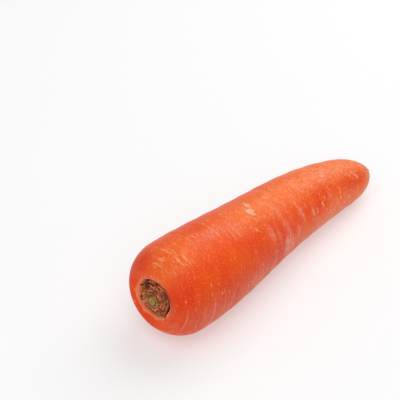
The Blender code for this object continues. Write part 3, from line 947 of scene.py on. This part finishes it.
def addBasePlate(pile):
    s = plate
    rings = np.linspace(*s["rings"])[:, None]
    turns = np.linspace(0, fullTurn, s["turns"])
    rough = softNoise(*s["noise"], rings / 10, turns / fullTurn) - 0.5
    ridge = np.sin(rings * fullTurn / s["ridgeGap"] + 3 * rough)
    z = s["top"] + s["ridge"] * ridge + s["rough"] * rough
    for start, end, fall in s["slopes"]:
        z = z - fall * smooth(start, end, rings)
    sheets = [polar(rings, turns, z), polar(rings, turns, 0 * z + s["under"])]
    addShell(pile, sheets, 0.12 + 0.25 * smooth(-0.2, 0.9, ridge), 0.5)


def addWhorls(pile, rng):
    s = leaves
    wornMiddle, wornHalf, wornDepth = s["wornSide"]
    raisedMiddle, raisedHeight = s["raisedSide"]
    for radius, count, top, halfSpan, lean in s["whorls"]:
        first = rng.uniform(0, fullTurn)
        for k in range(count):
            turn = first + fullTurn * k / count + rng.normal(0, 0.14)
            tall = top + rng.normal(0, 0.45)
            if radius > s["outerFrom"]:
                away = math.degrees(halfTurns(turn, wornMiddle))
                tall -= wornDepth * hump(away, 0, wornHalf)
                tall += raisedHeight * max(0, math.cos(turn - math.radians(raisedMiddle)))
            place = radius + rng.normal(0, 0.22)
            addScale(pile, rng, place, turn, halfSpan * rng.uniform(0.85, 1.15), tall, lean)


def addFibres(pile, rng):
    # every second one runs well round the crown, the rest go nearly straight
    s = leaves
    t = np.linspace(0, 1, 9)
    for k in range(s["fibres"]):
        radius = rng.uniform(*s["fibreRadius"])
        turn = rng.uniform(0, fullTurn)
        sweep = rng.uniform(*s["fibreSweep"]) * rng.choice([-1, 1]) * (1 if k % 2 else 0.3)
        r = np.minimum(radius + rng.normal(0, 0.7) * t, s["fibreLimit"])
        z = 1.1 - 0.22 * radius + rng.uniform(*s["fibreHeight"])
        z = z + rng.normal(0, 0.5) * t + 0.5 * np.sin(t * math.pi)
        line = polar(r, turn + sweep * t, z, *crownMiddle(radius))
        addTube(pile, line, rng.uniform(*s["fibreThick"]), rng.random())


def addCrumbs(pile, rng):
    for k in range(leaves["crumbs"]):
        radius = leaves["crumbReach"] * math.sqrt(rng.uniform(*leaves["crumbShare"]))
        turn = rng.uniform(0, fullTurn)
        spot = polar(radius, turn, 1.45 - 0.24 * radius + rng.normal(0, 0.4), *crownMiddle(radius))
        addCrumb(pile, rng, spot, rng.uniform(*leaves["crumbSize"]))


def pileMesh(name, pile):
    points = np.array(pile["points"])
    mesh = bpy.data.meshes.new(name)
    mesh.from_pydata((points * mm + np.array(lie["crown"])).tolist(), [], pile["faces"])
    work = bmesh.new()
    work.from_mesh(mesh)
    bmesh.ops.recalc_face_normals(work, faces=work.faces)
    work.to_mesh(mesh)
    work.free()
    addPointValues(mesh, "crownPlace", points)
    addPointValues(mesh, "lift", pile["lift"])
    addPointValues(mesh, "tone", pile["tone"])
    mesh.transform(layDown)
    mesh.shade_smooth()
    mesh.update()
    return addObject(name, mesh)


def makeLeafBases():
    rng = np.random.default_rng(leaves["seed"])
    pile = newPile()
    addBasePlate(pile)
    addWhorls(pile, rng)
    addFibres(pile, rng)
    addCrumbs(pile, rng)
    return pileMesh("leafBases", pile)


leafDark = (118, 42, 26)
# how the edges of the painted shade and painted light patches below are torn
shade = {"torn": (2.5, 0.6, 4)}
leafLayers = {
    # darker low on each piece, paler towards its top, on the plate's ridges and on the raised parts of
    # crumbs
    "dry": {"from": "level", "levels": (0.1, 0.55), "tint": (198, 96, 58)},
    "paleTops": {"from": "level", "levels": (0.5, 1.05), "tint": (244, 170, 116)},
    "ginger": {
        "noise": (0.45, 3), "levels": (0.5, 0.7), "gates": {"tone": (0.3, 0.9, 0.15, 0.75)},
        "tint": (196, 84, 40),
    },
    "mould": {"noise": (0.7, 4), "levels": (0.54, 0.7), "share": 0.6, "tint": (108, 40, 30)},
    "reach": {"near": (0, 0)},
    "yolk": {
        "noise": (0.9, 3), "levels": (0.35, 0.6, 0.2, 0.6), "gates": {"reach": (3.4, 6.2, 1, 0)},
        "tint": (176, 128, 70),
    },
    # painted shade round the edge, where the leaf bases meet the wall of the hollow
    "outer": {"from": "reach", "torn": (3, 0.5, 4), "levels": (8.9, 10, 0, 0.35), "tint": (124, 50, 34)},
    # painted shade under the rim on both sides and beside the stalk, then painted light where the rim's
    # shadow falls in front and on the right
    "lowShade": {"near": (-8.8, 4.4), **shade, "levels": (1.15, 3.15, 0.9, 0), "tint": (104, 36, 24)},
    "highShade": {"near": (6.6, 6), **shade, "levels": (1.95, 3.95, 0.85, 0), "tint": (104, 36, 24)},
    "innerShade": {"near": (1.6, -3.9), **shade, "levels": (0.55, 2.55, 0.5, 0), "tint": (120, 50, 28)},
    "frontLight": {"near": (-0.4, -8), **shade, "levels": (1.75, 3.75, 0.45, 0), "tint": (206, 118, 74)},
    "sideLight": {"near": (5.2, -6.2), **shade, "levels": (1.55, 3.55, 0.4, 0), "tint": (206, 120, 78)},
}
leafLooks = {
    "fibre": {"stretch": (1, 1, 0.25), "shift": (4, 2, 7), "noise": (2.6, 5, 0.65, 0.4)},
    "liftShare": 0.85,
    "fibreShare": 1.1,
    "toneShare": 0.8,
    "rough": (0.3, 0.7, 0.65, 0.9),
    "bump": (0.25 * mm, 0.8),
    "specular": 0.3,
}


def leafFinish():
    s = leafLooks
    w = Wiring("dryLeafBase", "crownPlace")
    fibre = w.amount(s["fibre"])
    level = w.sway(w.times(w.named("lift"), s["liftShare"]), fibre, s["fibreShare"])
    w.found["level"] = w.sway(level, w.named("tone"), s["toneShare"])
    w.paint(leafDark, leafLayers)
    inputs = {"Roughness": w.span(fibre, *s["rough"]), "Normal": w.bump(fibre, *s["bump"])}
    return w.finish({"Specular IOR Level": s["specular"], **inputs})


leafBases = makeLeafBases()
leafBases.data.materials.append(leafFinish())
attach(leafBases, "root")
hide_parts("leaf_bases")

print("stage 4: green stalk stump")
# in mm, in the crown's own space
stalk = {
    "middle": (-1.1, -0.2),
    "stumpRadius": 2.15,
    "stumpTop": 1.8,
    "foot": -1.6,
    "footRadius": 3.3,
    "turns": 73,
    "upward": 14,
    "ribs": 13,
    "ribHeight": 0.05,
    "ribNoise": (51, 4, 9),
    "rough": 0.10,
    "capNoise": (52, 12, 20),
    "ring": 0.16,  # the raised ring of strands on the cut, the sunken pith in it, the rounded edge
    "pith": (0.42, 0.28),
    "edge": (0.86, 0.12),
    # sheaths wrapped round the stump: radius, middle in degrees round it, half span, top
    "sheaths": (
        (2.6, 30, 110, 1.7),
        (2.8, 200, 95, 1.5),
        (3.2, 285, 85, 1.3),
        (3.6, 80, 95, 1.2),
        (3.75, 230, 75, 0.9),
    ),
    "across": 40,
    "jag": 0.14,
    "thickness": (0.62, 0.2),  # at the foot, and how much thinner at the top
    "flare": 0.4,
    "seed": 9,
}


def addStump(pile):
    # the cut leaf stalk: ribbed outside, a ring of strands and a sunken pith on top
    s = stalk
    turns = np.linspace(0, fullTurn, s["turns"])
    up = np.linspace(0, 1, s["upward"])[:, None]
    ribs = s["ribHeight"] * np.cos(turns * s["ribs"])
    ribs = ribs + s["rough"] * (softNoise(*s["ribNoise"], 0.5, turns / fullTurn) - 0.5)
    radius = s["stumpRadius"] + (s["footRadius"] - s["stumpRadius"]) * (1 - up) ** 2.2 + ribs
    wall = polar(radius, turns, s["foot"] + (s["stumpTop"] - s["foot"]) * up)

    out = np.linspace(1, 0.02, s["upward"])[:, None]
    pithDepth, pithReach = s["pith"]
    edgeFrom, edgeFall = s["edge"]
    rise = s["ring"] * np.sin(out * math.pi) - pithDepth * hump(out, 0, pithReach)
    rise = rise - edgeFall * smooth(edgeFrom, 1.0, out)
    rough = s["rough"] * (softNoise(*s["capNoise"], 1 - out, turns / fullTurn) - 0.5)
    cap = polar((s["stumpRadius"] + ribs) * out, turns, s["stumpTop"] + rise + rough)

    outer = np.concatenate([wall, cap])
    inner = outer * [0.1, 0.1, 0] + [0, 0, s["foot"]]
    addShell(pile, [outer, inner], np.concatenate([0.8 * up, 0.8 + 0.2 * out]), 0.2)


def addSheath(pile, rng, radius, middle, halfSpan, top):
    s = stalk
    u = np.linspace(-1, 1, s["across"])
    v = np.linspace(0, 1, s["upward"])[:, None]
    turns = np.radians(middle + halfSpan * u)
    jag = s["jag"] * rng.normal(0, 1, s["across"]) * (1 - np.abs(u))
    z = s["foot"] + v * ((top - s["foot"]) * (1 - 0.18 * np.abs(u) ** 3) + jag)
    ribs = s["ribHeight"] * np.cos(u * halfSpan / 5 + rng.uniform(0, 6))
    half = (s["thickness"][0] - s["thickness"][1] * v) * (1 - 0.75 * np.abs(u) ** 3) / 2
    r = radius + (s["footRadius"] + s["flare"] - radius) * (1 - v) ** 3 - 0.15 * u**2
    addShell(pile, [polar(r + half + ribs, turns, z), polar(r - half, turns, z)], v, rng.uniform(0.3, 1))


def makeStalk():
    rng = np.random.default_rng(stalk["seed"])
    pile = newPile()
    addStump(pile)
    for sheath in stalk["sheaths"]:
        addSheath(pile, rng, *sheath)
    pile["points"] = (np.array(pile["points"]) + [*stalk["middle"], 0]).tolist()
    return pileMesh("stalkCore", pile)


stalkDark = (92, 54, 22)
stalkLayers = {
    "green": {"from": "level", "levels": (0.1, 0.85), "tint": (168, 126, 48)},
    "tanned": {"from": "tone", "levels": (0.3, 1, 0, 0.5), "tint": (160, 104, 56)},
    "olive": {"noise": (0.9, 4), "levels": (0.55, 0.75, 0, 0.5), "tint": (116, 104, 36)},
    "pith": {
        "near": stalk["middle"], "torn": (2.4, 1.1, 5, 0.7), "levels": (0.1, 1.1, 0.6, 0),
        "tint": (104, 66, 26),
    },
    "specks": {"noise": (2.2, 4), "levels": (0.58, 0.72, 0, 0.5), "tint": (84, 50, 26)},
}
stalkLooks = {
    "strands": {"stretch": (1, 1, 0.2), "shift": (1, 5, 2), "noise": (3.2, 4, 0.6, 0.3)},
    "strandShare": 0.6,
    "rough": (0.3, 0.7, 0.5, 0.75),
    "bump": (0.15 * mm, 0.7),
}


def stalkFinish():
    s = stalkLooks
    w = Wiring("greenStalk", "crownPlace")
    strands = w.amount(s["strands"])
    w.found["level"] = w.sway(w.named("lift"), strands, s["strandShare"])
    w.paint(stalkDark, stalkLayers)
    return w.finish({"Roughness": w.span(strands, *s["rough"]), "Normal": w.bump(strands, *s["bump"])})


stalkCore = makeStalk()
stalkCore.data.materials.append(stalkFinish())
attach(stalkCore, "root")
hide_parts("stalk_core")

print("stage 5: floor and lights")
studio = {
    "floorSize": 6.0,
    "floorDrop": 0.0002,
    "floorTones": (0.56, 0.55),
    "floorFleckScale": 8.0,
    "paper": {
        "Roughness": 0.9, "Specular IOR Level": 0.1,
        "Emission Color": (1, 1, 1, 1), "Emission Strength": 0.38,
    },
    "sky": 0.43,
    # watts, the way it comes from, how far off, size
    "key": (6.8, (0.70, 0.08, 0.80), 1.1, 1.0),
    "fill": (10.5, (-0.62, -0.42, 0.92), 1.4, 1.4),
}


def addLamp(name, power, direction, away, size):
    lamp = addObject(name, bpy.data.lights.new(name, "AREA"))
    lamp.data.energy = power
    lamp.data.size = size
    lamp.location = boxMiddle + Vector(direction).normalized() * away
    lamp.rotation_euler = (boxMiddle - lamp.location).to_track_quat("-Z", "Y").to_euler()


def makeStudio():
    s = studio
    work = bmesh.new()
    bmesh.ops.create_grid(work, x_segments=2, y_segments=2, size=s["floorSize"] / 2)
    mesh = bpy.data.meshes.new("floor")
    work.to_mesh(mesh)
    work.free()
    floor = addObject("floor", mesh)
    floor.location.z = cadLow.z - s["floorDrop"]
    w = Wiring("floorPaper")
    tones = [(tone, tone, tone, 1) for tone in s["floorTones"]]
    fleck = w.noise(w.node("TexCoord", {}).outputs["Object"], s["floorFleckScale"])
    floor.data.materials.append(w.finish({"Base Color": w.mix(fleck, *tones), **s["paper"]}))
    world = bpy.data.worlds.new("studio")
    world.use_nodes = True
    sky = world.node_tree.nodes["Background"].inputs
    sky["Color"].default_value = (1, 1, 1, 1)
    sky["Strength"].default_value = s["sky"]
    scene.world = world
    addLamp("keyLamp", *s["key"])
    addLamp("fillLamp", *s["fill"])
    scene.view_settings.view_transform = "Standard"


makeStudio()
